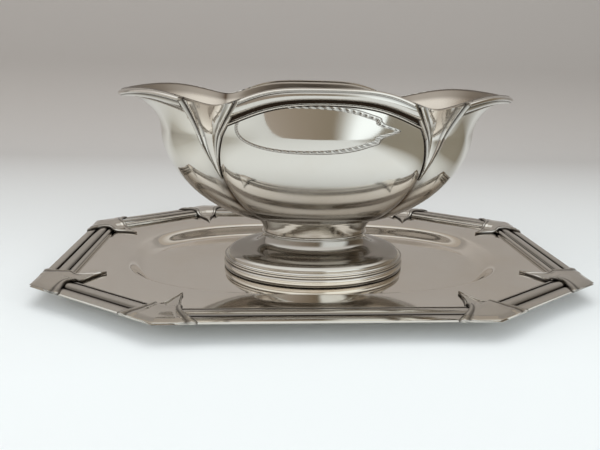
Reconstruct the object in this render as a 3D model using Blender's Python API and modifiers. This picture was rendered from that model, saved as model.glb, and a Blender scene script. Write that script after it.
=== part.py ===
"""Double-lipped gravy boat with its tray, in silver plate.

An oval bowl with a pouring lip at each end stands on an oval pedestal foot, on a long octagonal tray
with a sunk oval well. Metres, +Z up. The origin is under the middle of the tray, on the table. X runs
from lip to lip, and the object is mirror-symmetric across X = 0 and across Y = 0.
"""
import math

import bmesh
import bpy
from mathutils import Vector

CLEARANCE = 0.0003           # between pieces that are soldered or rest on each other

# Foot
FOOT_LENGTH = 0.0996
FOOT_WIDTH = 0.0664
FOOT_RING_HEIGHT = 0.0068
FOOT_WALL = 0.0012
WAIST_LENGTH = 0.0558
WAIST_WIDTH = 0.0300
WAIST_HEIGHT = 0.0192        # middle of the waist wire above the underside of the foot
WAIST_WIRE = 0.0011          # thickness of the wire between flare and stem
NECK_LENGTH = 0.0660         # where the stem meets the bowl
NECK_WIDTH = 0.0312
NECK_HEIGHT = 0.0279         # underside of the bowl above the underside of the foot

# Bowl
BOWL_WALL = 0.0010
BODY_LENGTH = 0.1576         # widest part of the round body
BODY_WIDTH = 0.0744
BODY_HEIGHT = 0.0460         # from the neck to where the lips start to flare
LIP_SPAN = 0.1942            # from lip tip to lip tip
RIM_WIDTH = 0.0730           # across the mouth, between the middles of the side panels
TIE_SPAN = 0.0990            # lengthwise between the creases at the rim
TIE_MOUTH = 0.0720           # across the mouth at the creases
PANEL_RISE = 0.0674          # heights of the rim above the neck: middle of a side panel,
DIP_RISE = 0.0599            # the dip at a crease,
LIP_RISE = 0.0655            # the highest place of a lip,
TIP_RISE = 0.0634            # and its tip
CREASE_ANGLE = math.radians(48)
CREASE_DEPTH = 0.11          # share of the half size that the crease cuts in
CREASE_WIDTH = math.radians(7)
SHOULDER = 0.07              # share by which the body is fuller than an ellipse

# Trim of the bowl
TRIM_BED = 0.0006            # between the bowl's face and the trim soldered on it
TRIM_REACH = 0.0022          # how far the rim bands stand off the bowl
PANEL_BAND = 0.0066          # width of the panel band at its middle
PANEL_BAND_END = 0.0120      # and at the ties
LIP_BAND = 0.0045            # width of the lip band at the tip
LIP_BAND_END = 0.0080        # and at the ties
BOWL_TIE_LENGTH = 0.0375     # length of a leaf tie down the bowl
BOWL_TIE_THICKNESS = 0.0016
BOWL_TIE_LIP_SIDE = math.radians(9)
BOWL_TIE_PANEL_SIDE = math.radians(12.5)

# Tray
TRAY_SHEET = 0.0012
TRAY_RIM_HEIGHT = 0.0076     # upper face of the flat rim above the table
WELL_ROOM_END = 0.0414       # flat floor beyond the foot, lengthwise
WELL_ROOM_SIDE = 0.0090      # and across
WELL_STEP = 0.0100           # width of the slope between rim and floor
RIM_FLAT_END = 0.0180        # flat rim between slope and border, lengthwise
RIM_FLAT_SIDE = 0.0140       # and across
CORNER_CUT_X = 0.0613        # what the slanting sides take off each corner
CORNER_CUT_Y = 0.0341
BORDER_WIDTH = 0.0130
BORDER_HEIGHT = 0.0028       # from the flat rim to the crest of the broad reed
FLANGE_WIDTH = 0.0044        # how far the border's thin outer edge reaches past the plate
FLANGE_RISE = 0.0011         # underside of that edge above the flat rim
TRAY_TIE_THICKNESS = 0.0008
TRAY_TIE_ARM = 0.0180        # how far a tie runs along the outer edge, each way from its corner
TRAY_TIE_TIP = 0.0280        # how far its leaf tip lies inside the edge

# Heights that follow
FOOT_Z = TRAY_SHEET + CLEARANCE
NECK_Z = FOOT_Z + NECK_HEIGHT

# Facets
OVAL_FACETS = 36
TRAY_FACETS = 12             # stations in one quarter of the well
LIP_FACETS = 6               # stations from a lip tip to the crease
PANEL_FACETS = 5             # stations from the crease to the middle of a panel


# ---------------------------------------------------------------- scene and mesh helpers

def clear_scene():
    for obj in list(bpy.data.objects):
        bpy.data.objects.remove(obj, do_unlink=True)


def silver(name, colour, roughness):
    made = bpy.data.materials.new(name)
    made.use_nodes = True
    shader = made.node_tree.nodes["Principled BSDF"]
    shader.inputs["Base Color"].default_value = (*colour, 1.0)
    shader.inputs["Roughness"].default_value = roughness
    shader.inputs["Metallic"].default_value = 1.0
    return made


def loft(rings, close_ends=False, close_loop=False):
    """Vertices and faces of quads between rings of as many points, each ring closed on itself."""
    count = len(rings[0])
    points = [point for ring in rings for point in ring]
    faces = []
    for row in range(len(rings) if close_loop else len(rings) - 1):
        this, following = row * count, (row + 1) % len(rings) * count
        for i in range(count):
            j = (i + 1) % count
            faces.append((this + i, this + j, following + j, following + i))
    if close_ends:
        faces.append(tuple(range(count)))
        faces.append(tuple(range(len(points) - count, len(points))))
    return points, faces


def add_piece(name, shape, material, parent, wall=0.0):
    """Makes an object from (points, faces). An open shape with a wall is thickened inwards."""
    mesh = bpy.data.meshes.new(name)
    mesh.from_pydata([tuple(point) for point in shape[0]], [], shape[1])
    work = bmesh.new()
    work.from_mesh(mesh)
    bmesh.ops.recalc_face_normals(work, faces=work.faces)
    work.to_mesh(mesh)
    work.free()
    face_out(mesh)
    mesh.shade_smooth()
    mesh.set_sharp_from_angle(angle=math.radians(40))
    mesh.materials.append(material)
    obj = bpy.data.objects.new(name, mesh)
    PARTS.objects.link(obj)
    obj.parent = parent
    if wall:
        shell = obj.modifiers.new("wall", "SOLIDIFY")
        shell.thickness = wall
        shell.offset = -1.0
        shell.use_even_offset = True
    return obj


def face_out(mesh):
    """Turns the faces to look away from the middle of the mesh."""
    middle = sum((vertex.co for vertex in mesh.vertices), Vector()) / len(mesh.vertices)
    if sum(face.normal.dot(face.center - middle) * face.area for face in mesh.polygons) < 0:
        mesh.flip_normals()


def face_up(mesh):
    """Turns an open sheet so that its faces look upwards."""
    if sum(face.normal.z * face.area for face in mesh.polygons) < 0:
        mesh.flip_normals()


def mix(low, high, share):
    return low + (high - low) * share


def oval(half_length, half_width, z, facets=OVAL_FACETS):
    turns = [math.tau * i / facets for i in range(facets)]
    return [Vector((half_length * math.cos(a), half_width * math.sin(a), z)) for a in turns]


# ---------------------------------------------------------------- foot

def foot_ring_section():
    """(offset from the foot's oval, height) round the two reeds of the base, then its inner face."""
    top = FOOT_RING_HEIGHT
    outer = [(-0.0022, 1.0), (-0.0012, 0.96), (-0.0004, 0.80), (-0.0010, 0.62),
             (-0.0002, 0.52), (0.0, 0.32), (-0.0003, 0.12), (-0.0008, 0.0)]
    inner = [(-0.0030, 0.0), (-0.0036, 1.0)]
    return [(offset, height * top) for offset, height in outer + inner]


def add_foot(material, parent):
    ring = [oval(FOOT_LENGTH / 2 + offset, FOOT_WIDTH / 2 + offset, FOOT_Z + height)
            for offset, height in foot_ring_section()]
    add_piece("foot_ring", loft(ring, close_loop=True), material, parent)

    flare_low = FOOT_Z + FOOT_RING_HEIGHT + CLEARANCE
    flare_high = FOOT_Z + WAIST_HEIGHT - WAIST_WIRE / 2 - CLEARANCE
    base_inset = 0.0024
    base = (FOOT_LENGTH / 2 - base_inset, FOOT_WIDTH / 2 - base_inset)
    waist = (WAIST_LENGTH / 2, WAIST_WIDTH / 2)
    flare = [(1.00, 1.00), (0.97, 0.80), (0.89, 0.60), (0.75, 0.45), (0.56, 0.36),
             (0.36, 0.32), (0.18, 0.27), (0.07, 0.19), (0.01, 0.09), (0.00, 0.00)]
    rows = [oval(mix(base[0], waist[0], inwards), mix(base[1], waist[1], inwards),
                 mix(flare_low, flare_high, up)) for inwards, up in flare]
    add_piece("foot_flare", loft(rows), material, parent, FOOT_WALL)

    middle = FOOT_Z + WAIST_HEIGHT
    half = WAIST_WIRE / 2
    wire = [(-FOOT_WALL, half), (0.0, half), (0.0006, 0.0), (0.0, -half), (-FOOT_WALL, -half)]
    rows = [oval(waist[0] + offset, waist[1] + offset, middle + height) for offset, height in wire]
    add_piece("waist_wire", loft(rows, close_loop=True), material, parent)

    stem_low = middle + half + CLEARANCE
    stem_high = NECK_Z - CLEARANCE
    neck = (NECK_LENGTH / 2, NECK_WIDTH / 2)
    stem = [(1.0, 1.0), (1.0, 0.9), (0.62, 0.75), (0.25, 0.5), (0.04, 0.25), (0.0, 0.0)]
    rows = [oval(mix(waist[0], neck[0], out), mix(waist[1], neck[1], out),
                 mix(stem_low, stem_high, up)) for out, up in stem]
    add_piece("stem", loft(rows), material, parent, FOOT_WALL)


# ---------------------------------------------------------------- bowl surface

def fold(turn):
    """The turn brought into the first quarter, with the signs of X and Y there."""
    x_side = 1.0 if math.cos(turn) >= 0 else -1.0
    y_side = 1.0 if math.sin(turn) >= 0 else -1.0
    return math.atan2(abs(math.sin(turn)), abs(math.cos(turn))), x_side, y_side


def body_point(quarter, height):
    """Point of the round body, height from 0 at the neck to 1 at its top."""
    ends = (1 - (1 - height) ** 1.9) ** (1 / 1.55)
    sides = (1 - (1 - height) ** 1.9) ** (1 / 2.0)
    half_length = mix(NECK_LENGTH, BODY_LENGTH, ends) / 2
    half_width = mix(NECK_WIDTH, BODY_WIDTH, sides) / 2
    full = 1 + SHOULDER * sides * math.sin(2 * quarter) ** 2
    full -= CREASE_DEPTH * sides * math.exp(-abs(quarter - CREASE_ANGLE) / CREASE_WIDTH)
    return Vector((half_length * math.cos(quarter) * full, half_width * math.sin(quarter) * full,
                   NECK_Z + BODY_HEIGHT * height))


def rim_point(quarter):
    """Point of the bowl's edge in the first quarter, from lip tip (0) to panel middle (90 degrees)."""
    across = math.cos(quarter)
    at_crease = math.cos(CREASE_ANGLE)
    if across > at_crease:
        out = (across - at_crease) / (1 - at_crease)
        x = mix(TIE_SPAN, LIP_SPAN, out) / 2
        y = TIE_MOUTH / 2 * (1 - out ** 1.5) ** (1 / 1.7)
        crest = math.sin(math.pi / 2 * min(out / 0.65, 1.0)) ** 1.3
        fall = max(out - 0.65, 0.0) / 0.35
        rise = mix(DIP_RISE, LIP_RISE, crest) - (LIP_RISE - TIP_RISE) * fall ** 2
    else:
        along = across / at_crease
        x = TIE_SPAN / 2 * along
        y = mix(RIM_WIDTH, TIE_MOUTH, along ** 2) / 2
        rise = mix(DIP_RISE, PANEL_RISE, (1 + math.cos(math.pi * along ** 2)) / 2)
    return Vector((x, y, NECK_Z + rise))


def bowl_point(turn, level):
    """Outer face of the bowl: level 0 to 1 on the round body, 1 to 2 up to the rim, past 2 above it."""
    quarter, x_side, y_side = fold(turn)
    if level <= 1:
        point = body_point(quarter, level)
    else:
        share = level - 1
        low, high = body_point(quarter, 1.0), rim_point(quarter)
        late = mix(3.0, 1.3, min(quarter / CREASE_ANGLE, 1.0))
        out = share ** late
        point = Vector((mix(low.x, high.x, out), mix(low.y, high.y, out), mix(low.z, high.z, share)))
    return Vector((point.x * x_side, point.y * y_side, point.z))


def bowl_turns():
    """Stations round the whole bowl, with one on each crease."""
    quarter = [CREASE_ANGLE * i / LIP_FACETS for i in range(LIP_FACETS)]
    quarter += [mix(CREASE_ANGLE, math.pi / 2, i / PANEL_FACETS) for i in range(PANEL_FACETS)]
    half = quarter + [math.pi / 2] + [math.pi - turn for turn in reversed(quarter[1:])]
    return half + [turn + math.pi for turn in half]


def add_bowl(material, parent):
    body_rows, flare_rows = 9, 5
    levels = [(i / body_rows) ** 1.5 for i in range(body_rows + 1)]
    levels += [1 + (i + 1) / flare_rows for i in range(flare_rows)]
    turns = bowl_turns()
    rows = [[bowl_point(turn, level) for turn in turns] for level in levels]
    rows.insert(0, [Vector((point.x * 0.85, point.y * 0.85, point.z)) for point in rows[0]])
    points, faces = loft(rows)
    faces.append(tuple(range(len(turns))))
    add_piece("bowl", (points, faces), material, parent, BOWL_WALL)


# ---------------------------------------------------------------- trim that follows the bowl

def below_rim(turn, distance):
    """The level that lies a distance down the bowl's face from the rim (or above it, if negative)."""
    steps = 40
    rim, under = bowl_point(turn, 2.0), bowl_point(turn, 1.98)
    if distance <= 0:
        return 2.0 - 0.02 * distance / (rim - under).length
    last, travelled = rim, 0.0
    for i in range(1, steps + 1):
        level = 2.0 - 1.8 * i / steps
        point = bowl_point(turn, level)
        length = (point - last).length
        if travelled + length >= distance:
            return level + 1.8 / steps * (1 - (distance - travelled) / length)
        last, travelled = point, travelled + length
    return 0.2


def on_bowl(turn, distance, height):
    """Point a distance below the rim and a height off the bowl's face."""
    level = below_rim(turn, distance)
    safe = min(level, 1.999)
    step = math.radians(2.5)
    along = bowl_point(turn + step, safe) - bowl_point(turn - step, safe)
    up = bowl_point(turn, safe) - bowl_point(turn, safe - 0.04)
    outwards = along.cross(up).normalized()
    point = bowl_point(turn, safe)
    if distance < 0:
        point -= up.normalized() * distance
    return point + outwards * height


def tie_edges(distance):
    """Half angles of a leaf tie towards the lip and towards the panel, at a distance below the rim."""
    left = max(1 - max(distance, 0.0) / BOWL_TIE_LENGTH, 0.0)
    tip = math.radians(0.5)
    return tip + BOWL_TIE_LIP_SIDE * left ** 1.2, tip + BOWL_TIE_PANEL_SIDE * left


def clearance_angle(turn, distance):
    """The angle that keeps the clearance between a band and the edge of a tie."""
    step = math.radians(1)
    level = min(below_rim(turn, distance), 1.99)
    reach = (bowl_point(turn + step, level) - bowl_point(turn, level)).length
    return 1.6 * CLEARANCE * step / reach


def band_section(width, reach):
    """(distance below the rim, height off the bowl) round a rim band: flat face, groove and bead."""
    off = TRIM_BED
    outer = [(-0.0007, off + 0.2 * reach), (-0.0006, 0.75 * reach), (0.10 * width, reach),
             (0.60 * width, 0.85 * reach), (0.72 * width, 0.40 * reach), (0.80 * width, 0.70 * reach),
             (0.92 * width, 0.75 * reach), (width, 0.35 * reach)]
    inner = [(0.98 * width, off), (0.5 * width, off), (0.0002, off)]
    return outer + inner


def add_band(name, middle, facets, start_side, widths, material, parent):
    """A rim band round the turn `middle`, between the two ties that end it."""
    half_turn = math.pi / 2 - CREASE_ANGLE if start_side == "panel" else CREASE_ANGLE
    rings = []
    for i in range(facets + 1):
        across = 2 * i / facets - 1
        width = mix(widths[0], widths[1], across ** 2)
        ring = []
        for distance, height in band_section(width, TRIM_REACH):
            lip_side, panel_side = tie_edges(distance)
            tie = panel_side if start_side == "panel" else lip_side
            end = half_turn - tie
            end -= clearance_angle(middle + end, distance)
            ring.append(on_bowl(middle + across * end, distance, height))
        rings.append(ring)
    add_piece(name, loft(rings, close_ends=True), material, parent)


def add_bowl_tie(name, crease, lip_sign, material, parent):
    """A leaf tie down a crease: thick along its two edges, hollow between, drawn to a point."""
    rows = [-0.0007, 0.0, 0.0025, 0.006, 0.011, 0.017, 0.024, 0.031, 0.036, BOWL_TIE_LENGTH]
    shares = [(1.0, 0.55), (0.86, 1.0), (0.62, 0.75), (0.30, 0.45)]
    profile = shares + [(0.0, 0.40)] + [(-across, up) for across, up in reversed(shares)]
    rings = []
    for row in rows:
        lip_side, panel_side = tie_edges(row)
        outer, inner = [], []
        for across, up in profile:
            angle = across * (lip_side if across > 0 else panel_side)
            turn = crease + lip_sign * angle
            outer.append(on_bowl(turn, row, TRIM_BED + BOWL_TIE_THICKNESS * up))
            inner.append(on_bowl(turn, row, TRIM_BED))
        rings.append(outer + inner[::-1])
    add_piece(name, loft(rings, close_ends=True), material, parent)


def add_bowl_trim(material, parent):
    quarter_turn = math.pi / 2
    for name, middle in (("panel_band_back", quarter_turn), ("panel_band_front", -quarter_turn)):
        add_band(name, middle, 16, "panel", (PANEL_BAND, PANEL_BAND_END), material, parent)
    for name, middle in (("lip_band_right", 0.0), ("lip_band_left", math.pi)):
        add_band(name, middle, 20, "lip", (LIP_BAND, LIP_BAND_END), material, parent)
    ties = (("back_right", CREASE_ANGLE, -1), ("back_left", math.pi - CREASE_ANGLE, 1),
            ("front_left", math.pi + CREASE_ANGLE, -1), ("front_right", -CREASE_ANGLE, 1))
    for place, crease, lip_sign in ties:
        add_bowl_tie("bowl_tie_" + place, crease, lip_sign, material, parent)


# ---------------------------------------------------------------- tray

def floor_half_sizes():
    return FOOT_LENGTH / 2 + WELL_ROOM_END, FOOT_WIDTH / 2 + WELL_ROOM_SIDE


def tray_half_sizes():
    half_length, half_width = floor_half_sizes()
    edge = WELL_STEP + BORDER_WIDTH
    return half_length + edge + RIM_FLAT_END, half_width + edge + RIM_FLAT_SIDE


def tray_corners():
    """The octagon's corners in order, anticlockwise from the one at +X, -Y."""
    x, y = tray_half_sizes()
    quarter = [(x, y - CORNER_CUT_Y), (x - CORNER_CUT_X, y)]
    corners = [(x, -(y - CORNER_CUT_Y))] + quarter
    corners += [(-(x - CORNER_CUT_X), y), (-x, y - CORNER_CUT_Y)]
    corners += [(-x, -(y - CORNER_CUT_Y)), (-(x - CORNER_CUT_X), -y), (x - CORNER_CUT_X, -y)]
    return [Vector(corner) for corner in corners]


def side_normal(start, end):
    """Outward normal of one side of the octagon."""
    along = (end - start).normalized()
    return Vector((along.y, -along.x))


def inset_corner(index, inset):
    """Where the corner comes when both of its sides move in by the inset."""
    corners = tray_corners()
    corner = corners[index]
    before = side_normal(corners[index - 1], corner)
    after = side_normal(corner, corners[(index + 1) % 8])
    middle = (before + after).normalized()
    return corner - middle * inset / middle.dot(before)


def well_oval(half_length, half_width, z):
    """A rounder-cornered oval than an ellipse."""
    ring = []
    for i in range(4 * TRAY_FACETS):
        turn = math.tau * i / (4 * TRAY_FACETS)
        c, s = math.cos(turn), math.sin(turn)
        share = (abs(c) ** 2.5 + abs(s) ** 2.5) ** (-1 / 2.5)
        ring.append(Vector((half_length * c * share, half_width * s * share, z)))
    return ring


def octagon_ring(inset, z):
    """The octagon in as many points as the well, with a third of a quarter on each half side."""
    corners = [inset_corner(i, inset) for i in range(8)]
    ring = []
    third = TRAY_FACETS // 3
    stretches = ((0, 1, 2 * third), (1, 2, third), (2, 3, 2 * third), (3, 4, third),
                 (4, 5, 2 * third), (5, 6, third), (6, 7, 2 * third), (7, 0, third))
    for start, end, count in stretches:
        for i in range(count):
            ring.append(Vector((*corners[start].lerp(corners[end], i / count), z)))
    return ring[third:] + ring[:third]


def add_plate(material):
    half_length, half_width = floor_half_sizes()
    rows = [octagon_ring(FLANGE_WIDTH, TRAY_RIM_HEIGHT)]
    for share in (0.0, 0.25, 0.5, 0.75, 1.0):
        out = WELL_STEP * (1 - share)
        fall = (1 - math.cos(math.pi * share)) / 2
        z = mix(TRAY_RIM_HEIGHT, TRAY_SHEET, fall)
        rows.append(well_oval(half_length + out, half_width + out, z))
    level_floor = 0.003
    rows.append(well_oval(half_length - level_floor, half_width - level_floor, TRAY_SHEET))
    points, faces = loft(rows)
    faces.append(tuple(range(len(points) - len(rows[-1]), len(points))))
    plate = add_piece("tray_plate", (points, faces), material, None)
    face_up(plate.data)
    shell = plate.modifiers.new("sheet", "SOLIDIFY")
    shell.thickness = TRAY_SHEET
    shell.offset = -1.0
    shell.use_even_offset = True


def border_section():
    """(inset, height over the flat rim): thin outer edge, groove, broad reed, groove and thin bead."""
    rise = BORDER_HEIGHT - FLANGE_RISE
    top = [(0.0, 0.14), (0.03, 0.32), (0.17, 0.60), (0.30, 0.64), (0.355, 0.42), (0.41, 0.68),
           (0.58, 1.00), (0.76, 0.88), (0.81, 0.56), (0.86, 0.78), (0.93, 0.70), (0.985, 0.10)]
    points = [(inset * BORDER_WIDTH, FLANGE_RISE + height * rise) for inset, height in top]
    return points + [(BORDER_WIDTH, CLEARANCE), (FLANGE_WIDTH, CLEARANCE),
                     (FLANGE_WIDTH, FLANGE_RISE), (0.0, FLANGE_RISE)]


def border_cover(inset):
    """Height over the flat rim of what a tie lies on."""
    over = [(0.0, 0.62), (0.17, 0.82), (0.58, 1.04), (0.93, 0.90), (1.06, 0.40), (1.20, 0.0)]
    share = inset / BORDER_WIDTH
    for (start, low), (end, high) in zip(over, over[1:]):
        if share <= end:
            return mix(low, high, (share - start) / (end - start)) * BORDER_HEIGHT
    return 0.0


def add_borders(material):
    """One straight moulding on each side of the octagon, mitred at the corners."""
    names = ("right", "back_right", "back", "back_left", "left", "front_left", "front", "front_right")
    for index, name in enumerate(names):
        following = (index + 1) % 8
        along = (tray_corners()[following] - tray_corners()[index]).normalized() * CLEARANCE
        rings = []
        for corner, shift in ((index, along), (following, -along)):
            ring = []
            for inset, height in border_section():
                place = inset_corner(corner, inset) + shift
                ring.append(Vector((*place, TRAY_RIM_HEIGHT + height)))
            rings.append(ring)
        add_piece("border_" + name, loft(rings, close_ends=True), material, None)


def tie_arm(inset):
    """How far a tray tie reaches from the mitre line, each way, at an inset from the edge."""
    if inset <= BORDER_WIDTH:
        return mix(TRAY_TIE_ARM, 0.0065, math.sin(math.pi / 2 * inset / BORDER_WIDTH))
    left = 1 - (inset - BORDER_WIDTH) / (TRAY_TIE_TIP - BORDER_WIDTH)
    return 0.0003 + 0.0062 * left ** 1.4


def tray_tie_rows():
    """(inset, height of the bed, extra thickness) from the outer edge to the leaf tip."""
    rows = []
    for share in (0.02, 0.17, 0.38, 0.58, 0.76, 0.93, 1.06, 1.20):
        inset = share * BORDER_WIDTH
        rows.append((inset, border_cover(inset)))
    beyond = 1.20 * BORDER_WIDTH
    for share in (0.35, 0.7, 1.0):
        rows.append((mix(beyond, TRAY_TIE_TIP, share), 0.0))
    return rows


def add_tray_ties(material):
    """A leaf tie over the border at each corner, with its tip on the flat rim."""
    names = ("right_front", "right_back", "back_right", "back_left",
             "left_back", "left_front", "front_left", "front_right")
    shares = ((-1.0, 1.0), (-0.7, 0.8), (0.0, 0.6), (0.7, 0.8), (1.0, 1.0))
    corners = tray_corners()
    for index, name in enumerate(names):
        before = (corners[index - 1] - corners[index]).normalized()
        after = (corners[(index + 1) % 8] - corners[index]).normalized()
        rings = []
        for across, thick in shares:
            way = before if across < 0 else after
            bed, top = [], []
            for inset, height in tray_tie_rows():
                place = inset_corner(index, inset) + way * abs(across) * tie_arm(inset)
                z = TRAY_RIM_HEIGHT + height + CLEARANCE
                bed.append(Vector((*place, z)))
                top.append(Vector((*place, z + TRAY_TIE_THICKNESS * thick)))
            lip = inset_corner(index, -0.0006) + way * abs(across) * tie_arm(0.0)
            low = inset_corner(index, -CLEARANCE) + way * abs(across) * tie_arm(0.0)
            bed.insert(0, Vector((*low, TRAY_RIM_HEIGHT + FLANGE_RISE)))
            top.insert(0, Vector((*lip, TRAY_RIM_HEIGHT + FLANGE_RISE)))
            rings.append(bed + top[::-1])
        add_piece("tray_tie_" + name, loft(rings, close_ends=True), material, None)


# ---------------------------------------------------------------- the whole object

def build():
    boat = bpy.data.objects.new("boat_lift", None)
    PARTS.objects.link(boat)
    boat.location.z = FOOT_Z
    bpy.context.view_layer.update()
    bright = silver("bright_silver", (0.80, 0.77, 0.73), 0.10)
    trim = silver("trim_silver", (0.74, 0.71, 0.66), 0.16)
    dish = silver("tray_silver", (0.76, 0.73, 0.69), 0.14)
    add_foot(bright, boat)
    add_bowl(bright, boat)
    add_bowl_trim(trim, boat)
    for obj in boat.children:
        obj.matrix_parent_inverse = boat.matrix_world.inverted()
    add_plate(dish)
    add_borders(trim)
    add_tray_ties(trim)


clear_scene()
PARTS = bpy.data.collections.new("gravy_boat")
bpy.context.scene.collection.children.link(PARTS)
build()
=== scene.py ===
import functools
import math

import bmesh
import bpy
from mathutils import Matrix, Vector


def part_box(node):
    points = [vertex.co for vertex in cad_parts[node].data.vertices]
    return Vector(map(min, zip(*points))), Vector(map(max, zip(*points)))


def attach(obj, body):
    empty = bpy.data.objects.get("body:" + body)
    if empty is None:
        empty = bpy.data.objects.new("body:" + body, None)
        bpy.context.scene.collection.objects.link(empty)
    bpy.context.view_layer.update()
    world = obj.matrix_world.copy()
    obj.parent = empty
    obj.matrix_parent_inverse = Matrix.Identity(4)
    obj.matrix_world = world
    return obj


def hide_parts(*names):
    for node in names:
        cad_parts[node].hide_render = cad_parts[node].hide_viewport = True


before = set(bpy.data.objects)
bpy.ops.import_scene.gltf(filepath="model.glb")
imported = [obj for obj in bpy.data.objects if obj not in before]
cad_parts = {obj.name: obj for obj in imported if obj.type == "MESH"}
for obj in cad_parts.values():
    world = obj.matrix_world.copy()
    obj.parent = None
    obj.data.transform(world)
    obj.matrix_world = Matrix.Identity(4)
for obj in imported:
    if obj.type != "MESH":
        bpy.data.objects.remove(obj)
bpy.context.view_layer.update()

# ---- Sizes read from the frame, metres. X runs from lip to lip, the front is at -Y.
FOOT_LOW, FOOT_HIGH = (Vector(corner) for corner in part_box("foot_ring"))
WIRE_LOW, WIRE_HIGH = (Vector(corner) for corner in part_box("waist_wire"))
BOWL_LOW, BOWL_HIGH = (Vector(corner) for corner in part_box("bowl"))
PLATE_LOW, PLATE_HIGH = (Vector(corner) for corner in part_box("tray_plate"))
BORDER_LOW, BORDER_HIGH = (Vector(corner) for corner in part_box("border_front"))
SIDE_LOW, SIDE_HIGH = (Vector(corner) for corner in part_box("border_right"))

FOOT_HALF = (FOOT_HIGH.x, FOOT_HIGH.y)
FOOT_Z = FOOT_LOW.z
FOOT_WALL = 0.0011           # sheet of the flare and the stem
WAIST_HALF = (0.0279, 0.0150)
WAIST_Z = (WIRE_LOW.z + WIRE_HIGH.z) / 2
NECK_HALF = (0.0330, 0.0156)  # where the stem meets the bowl
NECK_Z = BOWL_LOW.z

BODY_HALF = (0.0788, 0.0372)  # the round body at its widest
BODY_HEIGHT = 0.0460         # from the neck to where the lips start to flare
LIP_HALF_SPAN = BOWL_HIGH.x
RIM_HALF_WIDTH = 0.0365      # the mouth at the middle of a side panel
TIE_HALF_SPAN = 0.0495       # the mouth at the leaf ties
TIE_HALF_MOUTH = 0.0360
PANEL_RISE = BOWL_HIGH.z - BOWL_LOW.z
DIP_RISE = 0.0599            # rim over the neck at the leaf ties
LIP_RISE = 0.0655            # and at a lip's crest
TIP_RISE = 0.0634            # and at its tip
CREASE_ANGLE = math.radians(48)
CREASE_DEPTH = 0.11
CREASE_WIDTH = math.radians(7)
SHOULDER = 0.07              # fullness of the body between its ends and sides
BOWL_WALL = 0.0010

TRIM_REACH = 0.0024          # how far the rim's mouldings stand off the bowl
PANEL_BAND = 0.0066          # width of a rim band at its middle
PANEL_BAND_END = 0.0120      # and at the ties
LIP_BAND = 0.0045
LIP_BAND_END = 0.0080
BOWL_TIE_LENGTH = 0.0375
BOWL_TIE_THICKNESS = 0.0020
BOWL_TIE_LIP_SIDE = math.radians(9)
BOWL_TIE_PANEL_SIDE = math.radians(12.5)

CARTOUCHE_CENTRE = (-0.0070, 0.0800)
CARTOUCHE_HALF = (0.0332, 0.0108)
CARTOUCHE_LEAVES = 60        # engraved leaves round the frame

TRAY_HALF = (SIDE_HIGH.x, -BORDER_LOW.y)
TRAY_SHEET = 0.0012
TRAY_RIM_Z = PLATE_HIGH.z
FLOOR_HALF = (FOOT_HALF[0] + 0.0414, FOOT_HALF[1] + 0.0090)
WELL_STEP = 0.0100           # width of the slope round the well's floor
CORNER_CUT = (0.0613, 0.0341)
BORDER_WIDTH = BORDER_HIGH.y - BORDER_LOW.y
BORDER_TALL = BORDER_HIGH.z - TRAY_RIM_Z
FLANGE_WIDTH = 0.0044        # how far the border's outer edge reaches past the dish
FLANGE_RISE = 0.0011         # underside of that edge over the flat rim
TRAY_TIE_ARM = 0.0180        # how far a tie runs along the edge, each way from its corner
TRAY_TIE_NECK = 0.0065       # and at the border's inner side
TRAY_TIE_TIP = 0.0280        # how far its leaf tip lies inside the edge
TRAY_TIE_THICKNESS = 0.0008


# ---------------------------------------------------------------- mesh helpers

def mix(low, high, share):
    return low + (high - low) * share


def ease(share):
    """0 to 1 with level ends."""
    share = min(max(share, 0.0), 1.0)
    return share * share * (3 - 2 * share)


def bump_at(value, middle, half_width):
    """A smooth hump of height 1."""
    return math.exp(-((value - middle) / half_width) ** 2)


def reeds(knots, per_reed=8):
    """A moulding's outline. Each knot is (across, height, bulge of the reed that starts there, darkening:
    tarnish in the grooves and painted shade in the hollows).
    """
    outline = []
    for (x0, z0, bulge, dark), (x1, z1, _, dark_end) in zip(knots, knots[1:]):
        for i in range(per_reed):
            share = i / per_reed
            low = dark if dark == dark_end == 1.0 else dark * (1 - share) ** 6 + dark_end * share ** 6
            outline.append((mix(x0, x1, share),
                            mix(z0, z1, share) + bulge * math.sin(math.pi * share) ** 0.75, low))
    last = knots[-1]
    return outline + [(last[0], last[1], last[3])]


def add_piece(name, rings, finish, body, nodes, tarnish_and_shade=None,
              close_loop=False, caps=False, sharp=38, mirror=(1, 1)):
    """A lofted piece. Rings are closed lists of points; the darkening list gives a number for each point of
    a ring, for tarnish and for painted shade.
    """
    count = len(rings[0])
    points = [(p[0] * mirror[0], p[1] * mirror[1], p[2]) for ring in rings for p in ring]
    faces = []
    rows = len(rings) if close_loop else len(rings) - 1
    for row in range(rows):
        this, following = row * count, (row + 1) % len(rings) * count
        for i in range(count):
            j = (i + 1) % count
            faces.append((this + i, this + j, following + j, following + i))
    if caps:
        faces.append(tuple(range(count)))
        faces.append(tuple(range(len(points) - count, len(points))))
    mesh = bpy.data.meshes.new(name)
    mesh.from_pydata(points, [], faces)
    # Per-point darkening: tarnish in the grooves and painted shade.
    dark = mesh.attributes.new("tarnish_and_shade", "FLOAT", "POINT")
    values = list(tarnish_and_shade or [0.0] * count)
    if len(values) == count:
        values = values * len(rings)
    dark.data.foreach_set("value", values)
    work = bmesh.new()
    work.from_mesh(mesh)
    bmesh.ops.recalc_face_normals(work, faces=work.faces)
    work.to_mesh(mesh)
    work.free()
    mesh.shade_smooth()
    mesh.set_sharp_from_angle(angle=math.radians(sharp))
    mesh.materials.append(finish)
    piece = bpy.data.objects.new(name, mesh)
    bpy.context.scene.collection.objects.link(piece)
    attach(piece, body)
    if nodes:
        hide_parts(*nodes)
    return piece


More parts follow.
